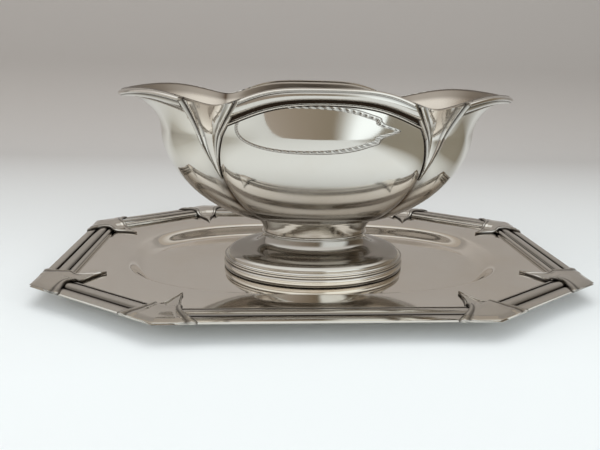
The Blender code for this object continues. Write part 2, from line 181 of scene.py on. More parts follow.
def thicken(piece, wall, outside_up=False):
    """Turns an open sheet's faces outwards (or upwards) and gives it its wall on the other side."""
    mesh = piece.data
    middle = sum((vertex.co for vertex in mesh.vertices), Vector()) / len(mesh.vertices)
    facing = 0.0
    for face in mesh.polygons:
        away = Vector((0, 0, 1)) if outside_up else face.center - middle
        facing += face.normal.dot(away) * face.area
    if facing < 0:
        mesh.flip_normals()
    shell = piece.modifiers.new("wall", "SOLIDIFY")
    shell.thickness = wall
    shell.offset = -1.0
    shell.use_even_offset = True


# ---------------------------------------------------------------- bowl surface

def body_point(quarter, height):
    """The round body in the first quarter, from the neck (0) to its shoulder (1)."""
    ends = (1 - (1 - height) ** 1.9) ** (1 / 1.55)
    sides = (1 - (1 - height) ** 1.9) ** (1 / 2.0)
    half_length = mix(NECK_HALF[0], BODY_HALF[0], ends)
    half_width = mix(NECK_HALF[1], BODY_HALF[1], sides)
    full = 1 + SHOULDER * sides * math.sin(2 * quarter) ** 2
    full -= CREASE_DEPTH * sides * math.exp(-abs(quarter - CREASE_ANGLE) / CREASE_WIDTH)
    return Vector((half_length * math.cos(quarter) * full, half_width * math.sin(quarter) * full,
                   NECK_Z + BODY_HEIGHT * height))


def rim_point(quarter):
    """The bowl's edge in the first quarter, from lip tip (0) to the middle of a side panel."""
    across = math.cos(quarter)
    at_crease = math.cos(CREASE_ANGLE)
    if across > at_crease:
        out = (across - at_crease) / (1 - at_crease)
        x = mix(TIE_HALF_SPAN, LIP_HALF_SPAN, out)
        y = TIE_HALF_MOUTH * max(1 - out ** 1.5, 0.0) ** (1 / 1.7)
        crest = math.sin(math.pi / 2 * min(out / 0.65, 1.0)) ** 1.3
        fall = max(out - 0.65, 0.0) / 0.35
        rise = mix(DIP_RISE, LIP_RISE, crest) - (LIP_RISE - TIP_RISE) * fall ** 2
    else:
        along = across / at_crease
        x = TIE_HALF_SPAN * along
        y = mix(RIM_HALF_WIDTH, TIE_HALF_MOUTH, along ** 2)
        rise = mix(DIP_RISE, PANEL_RISE, (1 + math.cos(math.pi * along ** 2)) / 2)
    return Vector((x, y, NECK_Z + rise))


def bowl_point(turn, level):
    """Outer face of the bowl: level 0 to 1 on the round body, 1 to 2 up to the rim."""
    x_side = 1.0 if math.cos(turn) >= 0 else -1.0
    y_side = 1.0 if math.sin(turn) >= 0 else -1.0
    quarter = math.atan2(abs(math.sin(turn)), abs(math.cos(turn)))
    if level <= 1:
        point = body_point(quarter, level)
    else:
        share = level - 1
        low, high = body_point(quarter, 1.0), rim_point(quarter)
        out = share ** mix(3.0, 1.3, min(quarter / CREASE_ANGLE, 1.0))
        point = Vector((mix(low.x, high.x, out), mix(low.y, high.y, out), mix(low.z, high.z, share)))
    return Vector((point.x * x_side, point.y * y_side, point.z))


@functools.lru_cache(maxsize=None)
def descent(turn):
    """(level, distance from the rim) down one line of the bowl."""
    steps = 90
    table, last, travelled = [(2.0, 0.0)], bowl_point(turn, 2.0), 0.0
    for i in range(1, steps + 1):
        level = 2.0 - 1.85 * i / steps
        point = bowl_point(turn, level)
        travelled += (point - last).length
        table.append((level, travelled))
        last = point
    return table


def level_below(turn, distance):
    table = descent(round(turn, 6))
    for (level, start), (lower, end) in zip(table, table[1:]):
        if end >= distance:
            return mix(level, lower, (distance - start) / (end - start))
    return table[-1][0]


def on_bowl(turn, distance, height):
    """Point a distance below the rim (above it if negative) and a height off the bowl's face."""
    level = min(level_below(turn, max(distance, 0.0)), 1.999)
    step = math.radians(2.0)
    along = bowl_point(turn + step, level) - bowl_point(turn - step, level)
    up = bowl_point(turn, level) - bowl_point(turn, level - 0.04)
    outwards = along.cross(up).normalized()
    point = bowl_point(turn, level)
    if distance < 0:
        point -= up.normalized() * distance
    return point + outwards * height


def quarter_turns(lip_count, panel_count):
    """Stations in the first quarter, closer together at the crease."""
    lip = [CREASE_ANGLE * math.sin(math.pi / 2 * i / lip_count) for i in range(lip_count)]
    panel = [mix(math.pi / 2, CREASE_ANGLE, math.sin(math.pi / 2 * i / panel_count))
             for i in range(panel_count, 0, -1)]
    return lip + panel + [math.pi / 2]


def round_bowl(quarter):
    """The first quarter's stations, carried all the way round."""
    half = quarter + [math.pi - turn for turn in reversed(quarter[1:-1])]
    half.append(math.pi)
    return half[:-1] + [turn + math.pi for turn in half[:-1]]


def bowl_painted_shade(turn, level):
    """Painted shade: darker on the underside, in the creases and under the rim bands."""
    quarter = math.atan2(abs(math.sin(turn)), abs(math.cos(turn)))
    crease = math.exp(-abs(quarter - CREASE_ANGLE) / math.radians(1.6)) * ease(level / 0.25)
    underside = ease((0.80 - level) / 0.55)
    under_rim = ease((level - 1.70) / 0.12)
    return min(0.60 * underside + 0.55 * crease + 0.5 * under_rim, 1.0)


def add_bowl(finish, inside):
    turns = round_bowl(quarter_turns(30, 26))
    levels = [(i / 34) ** 1.5 for i in range(35)] + [1 + (i + 1) / 22 for i in range(22)]
    rows = [[bowl_point(turn, level) for turn in turns] for level in levels]
    bottom = rows[0]
    shrunk = [[Vector((p.x * size, p.y * size, p.z)) for p in bottom] for size in (0.12, 0.5, 0.85)]
    # The bowl's points get painted shade: darker underneath, in the creases and under the bands.
    dulled = [bowl_painted_shade(turn, 0.0) for turn in turns] * len(shrunk)
    dulled += [bowl_painted_shade(turn, level) for level in levels for turn in turns]
    bowl = add_piece("bowl_skin", shrunk + rows, finish, "boat", ["bowl"], dulled, sharp=30)
    work = bmesh.new()
    work.from_mesh(bowl.data)
    edges = [edge for edge in work.edges if edge.is_boundary and edge.verts[0].co.z < NECK_Z + 0.001]
    bmesh.ops.contextual_create(work, geom=edges)
    bmesh.ops.recalc_face_normals(work, faces=work.faces)
    work.to_mesh(bowl.data)
    work.free()
    bowl.data.shade_smooth()
    bowl.data.set_sharp_from_angle(angle=math.radians(30))
    bowl.data.materials.append(inside)
    thicken(bowl, BOWL_WALL)
    bowl.modifiers["wall"].material_offset = 1


# ---------------------------------------------------------------- trim of the bowl

def tie_edges(distance):
    """Half widths of a leaf tie, as turns, towards the lip and towards the panel."""
    left = max(1 - max(distance, 0.0) / BOWL_TIE_LENGTH, 0.0)
    tip = math.radians(0.35)
    return tip + BOWL_TIE_LIP_SIDE * left ** 1.2, tip + BOWL_TIE_PANEL_SIDE * left


def band_outline(width, reach):
    """Top roll, fine groove, broad reed, deep groove and thin bead; (distance, height, darkening), where the
    darkening is tarnish in the grooves and painted shade under the broad reed.
    """
    bed = 0.0002
    return reeds([(-0.0008, bed, 0.0, 0.0),
                  (-0.0012, 0.55 * reach, 0.0006, 0.0),
                  (0.04 * width, 0.88 * reach, 0.0, 1.0),
                  (0.07 * width, 0.86 * reach, 0.0007, 0.9),
                  (0.58 * width, 0.66 * reach, 0.0, 0.9),
                  (0.63 * width, 0.18 * reach, 0.0, 1.0),
                  (0.79 * width, 0.10 * reach, 0.0, 1.0),
                  (0.82 * width, 0.16 * reach, 0.0008, 0.9),
                  (0.95 * width, bed, 0.0, 1.0),
                  (width, bed, 0.0, 1.0)])


def add_band(name, panel, stations, widths, finish, cad_node, mirror):
    """A rim band between two ties: on the back panel or the right lip, then mirrored."""
    middle = math.pi / 2 if panel else 0.0
    half_turn = math.pi / 2 - CREASE_ANGLE if panel else CREASE_ANGLE
    rings = []
    for i in range(stations + 1):
        across = 2 * i / stations - 1
        width = mix(widths[0], widths[1], across ** 2)
        ring = []
        for distance, height, _ in band_outline(width, TRIM_REACH):
            tie = tie_edges(distance)[1 if panel else 0] * 0.85
            ring.append(on_bowl(middle + across * (half_turn - tie), distance, height))
        rings.append(ring)
    dark = [tarnish_and_shade for _, _, tarnish_and_shade in band_outline(widths[0], TRIM_REACH)]
    add_piece(name, rings, finish, "boat", [cad_node], dark,
              caps=True, mirror=mirror, sharp=50)


def tie_height(across, down):
    """A leaf tie's face: a doubled ridge along each edge and a hollow leaf between, flat at the point."""
    side = abs(across)
    ridges = 1.3 * bump_at(side, 0.86, 0.09) + 0.9 * bump_at(side, 0.60, 0.09)
    leaf = 0.30 + 0.25 * (1 - side ** 2)
    edge = 1 - ease((side - 0.92) / 0.08)
    return max(leaf * (0.4 + 0.6 * edge), 0.0) + ridges * (1 - 0.35 * down)


def tie_painted_shade(across):
    """Painted shade: dark lines between the ridges, and a contact shadow along the edges."""
    side = abs(across)
    return min(bump_at(side, 0.73, 0.06) + bump_at(side, 1.0, 0.07)
               + 0.7 * bump_at(side, 0.46, 0.05), 1.0)


def add_bowl_tie(name, finish, cad_node, mirror):
    rows, columns = 46, 36
    rings, dark = [], []
    for row in range(rows + 1):
        down = row / rows
        distance = mix(-0.0009, BOWL_TIE_LENGTH, down)
        lip_side, panel_side = tie_edges(distance)
        outer, inner = [], []
        for column in range(columns + 1):
            across = 1 - 2 * column / columns
            turn = CREASE_ANGLE - across * (lip_side if across > 0 else panel_side)
            height = 0.0003 + 0.55 * BOWL_TIE_THICKNESS * tie_height(across, down)
            outer.append(on_bowl(turn, distance, height * mix(1.0, 0.6, ease(down))))
            inner.append(on_bowl(turn, distance, 0.0001))
        rings.append(outer + inner[::-1])
        line = [tie_painted_shade(1 - 2 * column / columns) for column in range(columns + 1)]
        dark += line + line[::-1]
    add_piece(name, rings, finish, "boat", [cad_node], dark,
              caps=True, mirror=mirror, sharp=60)


def add_bowl_trim(finish):
    widths = (PANEL_BAND, PANEL_BAND_END)
    add_band("panel_rim_back", True, 72, widths, finish, "panel_band_back", (1, 1))
    add_band("panel_rim_front", True, 72, widths, finish, "panel_band_front", (1, -1))
    widths = (LIP_BAND, LIP_BAND_END)
    add_band("lip_rim_right", False, 96, widths, finish, "lip_band_right", (1, 1))
    add_band("lip_rim_left", False, 96, widths, finish, "lip_band_left", (-1, 1))
    for place, mirror in (("back_right", (1, 1)), ("back_left", (-1, 1)),
                          ("front_left", (-1, -1)), ("front_right", (1, -1))):
        add_bowl_tie("leaf_tie_" + place, finish, "bowl_tie_" + place, mirror)


# ---------------------------------------------------------------- engraved cartouche

def panel_point(x, z, height):
    """Point off the front panel's face, at an x and a height above the table."""
    lower, upper = CREASE_ANGLE, math.pi - CREASE_ANGLE
    for _ in range(18):
        turn = (lower + upper) / 2
        level = (z - NECK_Z) / BODY_HEIGHT
        if level > 1:
            shoulder = NECK_Z + BODY_HEIGHT
            rim = bowl_point(turn, 2.0).z
            level = 1 + (z - shoulder) / (rim - shoulder)
        if bowl_point(turn, level).x > x:
            lower = turn
        else:
            upper = turn
    step = math.radians(2.0)
    along = bowl_point(turn + step, level) - bowl_point(turn - step, level)
    up = bowl_point(turn, level + 0.02) - bowl_point(turn, level - 0.02)
    point = bowl_point(turn, level) - along.cross(up).normalized() * -height
    return Vector((point.x, -point.y, point.z))


def cartouche_line(share, inset):
    """The frame's outline, a long oval with a pointed scroll at its right end."""
    turn = math.tau * share
    c, s = math.cos(turn), math.sin(turn)
    size = (abs(c) ** 2.3 + abs(s) ** 2.3) ** (-1 / 2.3)
    away = math.atan2(s, c)
    scroll = 0.0075 * math.exp(-(away / 0.20) ** 2) + 0.0016 * math.exp(-((abs(away) - 0.55) / 0.12) ** 2)
    return (CARTOUCHE_CENTRE[0] + (CARTOUCHE_HALF[0] - inset) * c * size + scroll,
            CARTOUCHE_CENTRE[1] + (CARTOUCHE_HALF[1] - inset) * s * size)


def add_cartouche(finish):
    """A raised, veined border engraved round a plain field on the front panel."""
    stations, columns = 440, 12
    rings, dark = [], []
    for i in range(stations):
        share = i / stations
        right = (1 + math.cos(math.tau * share)) / 2
        width = mix(0.0014, 0.0032, right ** 3)
        top, bed, tones = [], [], []
        for column in range(columns + 1):
            across = column / columns
            leaf = math.sin(math.pi * CARTOUCHE_LEAVES * share + 3.2 * across) ** 2
            vein = math.sin(math.pi * 2 * CARTOUCHE_LEAVES * share + 3.2 * across) ** 2
            body = math.sin(math.pi * min(max((across - 0.18) / 0.82, 0.0), 1.0))
            lines = bump_at(across, 0.0, 0.07) + 0.5 * bump_at(across, 1.0, 0.06)
            height = 0.00006 + 0.00022 * body * (0.25 + 0.75 * leaf) + 0.00010 * lines
            x, z = cartouche_line(share, width * across)
            point = panel_point(x, z, 0.00003)
            top.append(panel_point(x, z, height))
            bed.append(point)
            tones.append(min(1.0, 0.95 * bump_at(across, 0.09, 0.08) + 0.60 * (1 - leaf) * body
                             + 0.35 * (1 - vein) * body + 0.4 * bump_at(across, 0.93, 0.06)))
        rings.append(top + bed[::-1])
        dark += tones + tones[::-1]
    add_piece("engraved_cartouche", rings, finish, "boat", [], dark,
              close_loop=True, sharp=60)


# ---------------------------------------------------------------- foot

def oval(half, offset, z, facets=144):
    turns = [math.tau * i / facets for i in range(facets)]
    return [Vector(((half[0] + offset) * math.cos(a), (half[1] + offset) * math.sin(a), z)) for a in turns]


def round_each(values, facets=144):
    """One number for each ring, repeated for each of its points."""
    return [value for value in values for _ in range(facets)]


def add_foot_ring(finish):
    """Two thin reeds over a broad one; each line of the outline is (offset, height, darkening): tarnish in
    the grooves and painted shade in the gap where the ring meets the tray.
    """
    top = FOOT_HIGH.z - FOOT_LOW.z
    outline = reeds([(-0.0022, top, 0.0, 0.0), (-0.0016, top, 0.0, 0.6), (-0.0012, 0.93 * top, 0.0, 0.9)], 3)
    for start, end, reach in ((0.95, 0.81, 0.0004), (0.77, 0.63, 0.0004), (0.58, 0.08, 0.0010)):
        for i in range(9):
            share = i / 8
            dark = 0.9 * (1 - share) ** 8 + 0.9 * share ** 8
            outline.append((-0.0012 + reach * math.sin(math.pi * share) ** 0.4,
                            mix(start, end, share) * top, dark))
    # Painted shade at the ring's foot, where it meets the tray.
    outline += [(-0.0010, 0.05 * top, 0.6), (-0.0004, 0.0, 0.5), (-0.0032, 0.0, 0.0), (-0.0036, top, 0.0)]
    rings = [oval(FOOT_HALF, offset, FOOT_Z + height) for offset, height, _ in outline]
    add_piece("foot_base", rings, finish, "boat", ["foot_ring"],
              round_each([dark for _, _, dark in outline]), close_loop=True)


def between_ovals(inner, outer, low, high, keys):
    """Rings between two ovals and two heights, through keys of (share inwards, share up)."""
    rings = []
    for inwards, up in smooth_line(keys, 6):
        half = (mix(outer[0], inner[0], inwards), mix(outer[1], inner[1], inwards))
        rings.append(oval(half, 0.0, mix(low, high, up)))
    return rings


def add_flare(finish):
    base = (FOOT_HALF[0] - 0.0024, FOOT_HALF[1] - 0.0024)
    keys = [(1.00, 1.00), (0.97, 0.80), (0.89, 0.60), (0.75, 0.45), (0.56, 0.36),
            (0.36, 0.32), (0.18, 0.27), (0.07, 0.19), (0.01, 0.09), (0.00, 0.00)]
    rings = between_ovals(WAIST_HALF, base, FOOT_HIGH.z, WIRE_LOW.z, keys)
    # Painted shade: the flare is darker up towards the waist, under the bowl, and lighter at its foot.
    flare_painted_shade = [0.15 + 0.35 * ease(i / 20) for i in range(len(rings))][::-1]
    flare = add_piece("foot_dome", rings, finish, "boat", ["foot_flare"], round_each(flare_painted_shade))
    thicken(flare, FOOT_WALL)


def add_waist(finish):
    wire = [(-0.0011, 0.5), (0.0, 0.5), (0.0005, 0.3), (0.0007, 0.0),
            (0.0005, -0.3), (0.0, -0.5), (-0.0011, -0.5)]
    thick = WIRE_HIGH.z - WIRE_LOW.z
    rings = [oval(WAIST_HALF, offset, WAIST_Z + height * thick) for offset, height in wire]
    add_piece("waist_ring", rings, finish, "boat", ["waist_wire"], close_loop=True)


def add_stem(finish):
    keys = [(1.0, 1.0), (0.93, 0.93), (0.62, 0.78), (0.25, 0.52), (0.05, 0.25), (0.0, 0.0)]
    rings = between_ovals(NECK_HALF, WAIST_HALF, WIRE_HIGH.z, NECK_Z - 0.0002, keys)
    # The whole stem is darkened evenly: painted shade under the bowl.
    stem = add_piece("stem_neck", rings, finish, "boat", ["stem"], [0.35] * 144)
    thicken(stem, FOOT_WALL)


def smooth_line(keys, per_key):
    """A rounded line through the keys."""
    padded = [keys[0]] + list(keys) + [keys[-1]]
    line = []
    for before, start, end, after in zip(padded, padded[1:], padded[2:], padded[3:]):
        for i in range(per_key):
            t = i / per_key
            weights = (-0.5 * t ** 3 + t ** 2 - 0.5 * t, 1.5 * t ** 3 - 2.5 * t ** 2 + 1,
                       -1.5 * t ** 3 + 2 * t ** 2 + 0.5 * t, 0.5 * t ** 3 - 0.5 * t ** 2)
            line.append(tuple(sum(w * key[axis] for w, key in zip(weights, (before, start, end, after)))
                              for axis in range(len(start))))
    return line + [tuple(keys[-1])]


# ---------------------------------------------------------------- tray

def tray_corners():
    x, y = TRAY_HALF
    cut_x, cut_y = CORNER_CUT
    return [Vector(corner) for corner in (
        (x, cut_y - y), (x, y - cut_y), (x - cut_x, y), (cut_x - x, y),
        (-x, y - cut_y), (-x, cut_y - y), (cut_x - x, -y), (x - cut_x, -y))]


CORNERS = tray_corners()


def inset_corner(index, inset):
    corner = CORNERS[index % 8]
    before = (corner - CORNERS[(index - 1) % 8]).normalized()
    after = (CORNERS[(index + 1) % 8] - corner).normalized()
    first, second = Vector((before.y, -before.x)), Vector((after.y, -after.x))
    middle = (first + second).normalized()
    return corner - middle * inset / middle.dot(first)


WELL_FACETS = 60             # stations in one quarter of the well


def well_oval(half, offset, z):
    ring = []
    for i in range(4 * WELL_FACETS):
        turn = math.tau * i / (4 * WELL_FACETS)
        c, s = math.cos(turn), math.sin(turn)
        share = (abs(c) ** 2.5 + abs(s) ** 2.5) ** (-1 / 2.5)
        ring.append(Vector(((half[0] + offset) * c * share, (half[1] + offset) * s * share, z)))
    return ring


def octagon_ring(inset, z):
    third = WELL_FACETS // 3
    ring = []
    for side in range(8):
        start, end = inset_corner(side, inset), inset_corner(side + 1, inset)
        count = third if side % 2 else 2 * third
        ring += [Vector((*start.lerp(end, i / count), z)) for i in range(count)]
    return ring[third:] + ring[:third]


def add_plate(finish):
    """The dish: flat rim, slope and well floor, closed in the middle."""
    rows = [octagon_ring(FLANGE_WIDTH + 0.0001, TRAY_RIM_Z), octagon_ring(BORDER_WIDTH + 0.002, TRAY_RIM_Z)]
    for i in range(17):
        share = i / 16
        z = mix(TRAY_RIM_Z, TRAY_SHEET, ease(share))
        rows.append(well_oval(FLOOR_HALF, WELL_STEP * (1 - share), z))
    for size in (0.9, 0.6, 0.3, 0.05):
        rows.append([Vector((p.x * size, p.y * size, TRAY_SHEET)) for p in rows[18]])
    plate = add_piece("tray_dish", rows, finish, "tray", ["tray_plate"], sharp=60)
    work = bmesh.new()
    work.from_mesh(plate.data)
    inner = [edge for edge in work.edges if edge.is_boundary and edge.verts[0].co.xy.length < 0.02]
    bmesh.ops.contextual_create(work, geom=inner)
    work.to_mesh(plate.data)
    work.free()
    plate.data.shade_smooth()
    thicken(plate, TRAY_SHEET, outside_up=True)


def border_outline():
    """Flat outer edge, broad reed and thin bead with grooves between; (inset, height, darkening), where the
    darkening is tarnish in the grooves and painted shade under the outer edge.
    """
    w, t = BORDER_WIDTH, BORDER_TALL
    outline = reeds([(0.0, FLANGE_RISE, 0.0, 0.8),
                     (0.0, 0.74 * t, 0.06 * t, 0.0),
                     (0.32 * w, 0.80 * t, 0.0, 0.8),
                     (0.34 * w, 0.52 * t, 0.0, 1.0),
                     (0.375 * w, 0.52 * t, 0.0, 1.0),
                     (0.39 * w, 0.74 * t, 0.24 * t, 1.0),
                     (0.78 * w, 0.80 * t, 0.0, 0.9),
                     (0.80 * w, 0.56 * t, 0.0, 1.0),
                     (0.83 * w, 0.56 * t, 0.0, 1.0),
                     (0.845 * w, 0.72 * t, 0.13 * t, 1.0),
                     (0.985 * w, 0.42 * t, 0.0, 0.7),
                     (w, 0.0, 0.0, 1.0)])
    # The underside of the outer edge is darkened: painted shade under the edge.
    return outline + [(w * 0.98, -0.0001, 0.0), (FLANGE_WIDTH, -0.0001, 0.6),
                      (FLANGE_WIDTH, FLANGE_RISE, 0.8)]


def add_borders(finish):
    names = ("right", "back_right", "back", "back_left", "left", "front_left", "front", "front_right")
    outline = border_outline()
    for index, name in enumerate(names):
        rings = []
        for i in range(13):
            ring = []
            for inset, height, _ in outline:
                start, end = inset_corner(index, inset), inset_corner(index + 1, inset)
                ring.append(Vector((*start.lerp(end, i / 12), TRAY_RIM_Z + height)))
            rings.append(ring)
        dark = [tarnish_and_shade for _, _, tarnish_and_shade in outline]
        add_piece("reeded_border_" + name, rings, finish, "tray", ["border_" + name],
                  dark, caps=True, sharp=50)


def tie_bed(inset):
    """Height over the flat rim of what a tray tie lies on."""
    keys = [(-0.08, 0.42), (0.0, 0.60), (0.17, 0.82), (0.58, 1.02), (0.80, 0.95),
            (0.95, 0.82), (1.10, 0.22), (1.25, 0.02), (9.0, 0.0)]
    share = inset / BORDER_WIDTH
    for (start, low), (end, high) in zip(keys, keys[1:]):
        if share <= end:
            return mix(low, high, ease((share - start) / (end - start)) * 0.5
                       + 0.5 * (share - start) / (end - start)) * BORDER_TALL
    return 0.0


def tie_arm(inset):
    """Half width of a tray tie along the edge, at an inset from it."""
    if inset <= BORDER_WIDTH:
        return mix(TRAY_TIE_ARM, TRAY_TIE_NECK, math.sin(math.pi / 2 * max(inset, 0.0) / BORDER_WIDTH))
    left = max(1 - (inset - BORDER_WIDTH) / (TRAY_TIE_TIP - BORDER_WIDTH), 0.0)
    return mix(0.0002, TRAY_TIE_NECK, left ** 1.4)


def add_tray_ties(finish):
    names = ("right_front", "right_back", "back_right", "back_left",
             "left_back", "left_front", "front_left", "front_right")
    rows, columns = 40, 32
    for index, name in enumerate(names):
        before = (CORNERS[index - 1] - CORNERS[index]).normalized()
        after = (CORNERS[(index + 1) % 8] - CORNERS[index]).normalized()
        rings, dark = [], []
        for row in range(rows + 1):
            down = row / rows
            inset = mix(-0.0007, TRAY_TIE_TIP, down ** 1.15)
            arm = tie_arm(inset)
            bed, top = [], []
            for column in range(columns + 1):
                across = 1 - 2 * column / columns
                way = before if across < 0 else after
                place = inset_corner(index, inset) + way * abs(across) * arm
                z = TRAY_RIM_Z + tie_bed(inset) + 0.0003
                ridge = bump_at(abs(across), 0.88, 0.09) + 0.5 * bump_at(abs(across), 0.66, 0.08)
                body = 0.35 + 0.55 * (1 - abs(across) ** 3)
                thick = TRAY_TIE_THICKNESS * (body + 0.9 * ridge) * mix(1.0, 0.8, down)
                bed.append(Vector((*place, z - 0.0002)))
                top.append(Vector((*place, z + thick)))
            rings.append(top + bed[::-1])
            # Painted shade: dark lines between the ridges and a contact shadow along the tie's edges.
            line = [min(0.9 * bump_at(abs(1 - 2 * c / columns), 0.77, 0.05)
                        + 0.9 * bump_at(abs(1 - 2 * c / columns), 1.0, 0.06), 1.0)
                    for c in range(columns + 1)]
            dark += line + line[::-1]
        add_piece("ribbon_tie_" + name, rings, finish, "tray", ["tray_tie_" + name],
                  dark, caps=True, sharp=60)


# ---------------------------------------------------------------- finishes

def node(tree, kind, **settings):
    made = tree.nodes.new(kind)
    for key, value in settings.items():
        setattr(made, key, value)
    return made


def noise(tree, scale, detail):
    made = node(tree, "ShaderNodeTexNoise")
    made.inputs["Scale"].default_value = scale
    made.inputs["Detail"].default_value = detail
    return made


def map_range(tree, source, low, high, top=1.0):
    """A node that turns low to high in the source into 0 to top."""
    made = node(tree, "ShaderNodeMapRange")
    made.inputs["From Min"].default_value = low
    made.inputs["From Max"].default_value = high
    made.inputs["To Max"].default_value = top
    tree.links.new(source, made.inputs["Value"])
    return made.outputs["Result"]


def colour_ramp(tree, source, tones):
    """A colour ramp through tones of (place, colour)."""
    made = node(tree, "ShaderNodeValToRGB")
    stops = made.color_ramp.elements
    for position, _ in tones[1:-1]:
        stops.new(position)
    for stop, (position, colour) in zip(stops, tones):
        stop.position = position
        stop.color = (*colour, 1)
    tree.links.new(source, made.inputs["Fac"])
    return made.outputs["Color"]


def polish_group():
    """Hand-polished plate: fine scratches, cloth smudges and soft waviness, darkened by a mask of tarnish
    and painted shade.
    """
    group = bpy.data.node_groups.new("polished_plate", "ShaderNodeTree")
    face = group.interface
    for name, kind, value in (("Clean", "NodeSocketColor", (0.8, 0.8, 0.8, 1)),
                              ("Dark", "NodeSocketColor", (0.1, 0.08, 0.06, 1)),
                              ("Tarnish And Shade", "NodeSocketFloat", 0.0),
                              ("Base Roughness", "NodeSocketFloat", 0.08),
                              ("Smudge", "NodeSocketFloat", 0.05),
                              ("Wave", "NodeSocketFloat", 0.1)):
        socket = face.new_socket(name=name, in_out="INPUT", socket_type=kind)
        socket.default_value = value
    face.new_socket(name="Colour", in_out="OUTPUT", socket_type="NodeSocketColor")
    face.new_socket(name="Roughness", in_out="OUTPUT", socket_type="NodeSocketFloat")
    face.new_socket(name="Normal", in_out="OUTPUT", socket_type="NodeSocketVector")
    start = node(group, "NodeGroupInput")
    end = node(group, "NodeGroupOutput")
    place = node(group, "ShaderNodeTexCoord")
    links = group.links

    smudge = noise(group, 38.0, 5.0)
    stain = noise(group, 16.0, 8.0)
    stain.inputs["Roughness"].default_value = 0.65
    stretch = node(group, "ShaderNodeMapping")
    stretch.inputs["Scale"].default_value = (0.12, 1.0, 1.6)
    stretch.inputs["Rotation"].default_value = (0.2, 0.35, 0.5)
    scratch = noise(group, 900.0, 2.0)
    wave = noise(group, 22.0, 1.0)
    for texture in (smudge, stain, wave, stretch):
        links.new(place.outputs["Object"], texture.inputs["Vector"])
    links.new(stretch.outputs["Vector"], scratch.inputs["Vector"])

    patches = map_range(group, smudge.outputs["Fac"], 0.42, 0.70)
    rough = node(group, "ShaderNodeMath", operation="MULTIPLY_ADD")
    links.new(patches, rough.inputs[0])
    links.new(start.outputs["Smudge"], rough.inputs[1])
    links.new(start.outputs["Base Roughness"], rough.inputs[2])
    dulled = node(group, "ShaderNodeMath", operation="MULTIPLY_ADD")
    links.new(start.outputs["Tarnish And Shade"], dulled.inputs[0])
    dulled.inputs[1].default_value = 0.14
    links.new(rough.outputs["Value"], dulled.inputs[2])
    links.new(dulled.outputs["Value"], end.inputs["Roughness"])

    warm = map_range(group, stain.outputs["Fac"], 0.45, 0.85, top=0.45)
    tint = node(group, "ShaderNodeMix", data_type="RGBA", blend_type="MULTIPLY")
    tint.inputs["B"].default_value = (0.86, 0.78, 0.66, 1)
    links.new(warm, tint.inputs["Factor"])
    links.new(start.outputs["Clean"], tint.inputs["A"])
    dark = node(group, "ShaderNodeMix", data_type="RGBA")
    links.new(start.outputs["Tarnish And Shade"], dark.inputs["Factor"])
    links.new(tint.outputs["Result"], dark.inputs["A"])
    links.new(start.outputs["Dark"], dark.inputs["B"])
    links.new(dark.outputs["Result"], end.inputs["Colour"])

    relief = node(group, "ShaderNodeBump")
    relief.inputs["Distance"].default_value = 0.0004
    links.new(start.outputs["Wave"], relief.inputs["Strength"])
    links.new(wave.outputs["Fac"], relief.inputs["Height"])
    fine = node(group, "ShaderNodeBump")
    fine.inputs["Strength"].default_value = 0.05
    fine.inputs["Distance"].default_value = 0.00002
    links.new(scratch.outputs["Fac"], fine.inputs["Height"])
    links.new(relief.outputs["Normal"], fine.inputs["Normal"])
    links.new(fine.outputs["Normal"], end.inputs["Normal"])
    return group


POLISH = polish_group()


def silver(name, clean, dark, roughness, smudge, wave):
    """A polished silver finish; the mesh's darkening numbers say where it is darker, from tarnish and from
    painted shade.
    """
    made = bpy.data.materials.new(name)
    made.use_nodes = True
    tree = made.node_tree
    shader = tree.nodes["Principled BSDF"]
    shader.inputs["Metallic"].default_value = 1.0
    mask = node(tree, "ShaderNodeAttribute", attribute_name="tarnish_and_shade")
    polish = node(tree, "ShaderNodeGroup", node_tree=POLISH)
    polish.inputs["Clean"].default_value = (*clean, 1)
    polish.inputs["Dark"].default_value = (*dark, 1)
    polish.inputs["Base Roughness"].default_value = roughness
    polish.inputs["Smudge"].default_value = smudge
    polish.inputs["Wave"].default_value = wave
    tree.links.new(mask.outputs["Fac"], polish.inputs["Tarnish And Shade"])
    tree.links.new(polish.outputs["Colour"], shader.inputs["Base Color"])
    tree.links.new(polish.outputs["Roughness"], shader.inputs["Roughness"])
    tree.links.new(polish.outputs["Normal"], shader.inputs["Normal"])
    return made


# ---------------------------------------------------------------- stage, light and camera

FLOOR_FRONT = 0.55           # how far the floor reaches in front of the object
# Card tones from front to back: the card's own tone with painted fall-off of the light.
CARD_TONES_AND_FALLOFF = ((0.0, (0.83, 0.87, 0.89)), (1.0, (0.37, 0.34, 0.32)))
BACKDROP = (0.80, 0.79, 0.78)  # what shows past the sweep
CEILING_BACK = (0.42, 0.38, 0.33)
CEILING_FRONT = (1.15, 1.18, 1.18)

# Painted reflections: how the floor is toned where the silver mirrors it, by share of the way from X = -0.5
# to 0.5; only glossy rays near the front see these dark and bright bands.
FLOOR_PAINTED_REFLECTIONS = (
    (0.00, (0.36, 0.33, 0.29)), (0.24, (0.58, 0.55, 0.50)), (0.36, (0.92, 0.91, 0.89)),
    (0.62, (1.0, 1.0, 1.0)), (0.70, (0.34, 0.30, 0.24)), (1.00, (0.30, 0.26, 0.20)))

# Colour of the room round the object, by share of a turn: 0 and 1 are -X, 0.25 is -Y, 0.5 is +X
ROOM_WALLS = (
    (0.00, (0.66, 0.63, 0.61)), (0.12, (0.60, 0.57, 0.53)), (0.19, (0.50, 0.45, 0.40)),
    (0.25, (0.34, 0.29, 0.23)), (0.275, (0.27, 0.23, 0.17)), (0.29, (1.25, 1.35, 1.38)),
    (0.37, (1.25, 1.35, 1.38)), (0.40, (0.13, 0.10, 0.07)), (0.50, (0.24, 0.20, 0.15)),
    (0.62, (0.55, 0.52, 0.50)), (0.75, (0.42, 0.38, 0.35)), (1.00, (0.66, 0.63, 0.61)))


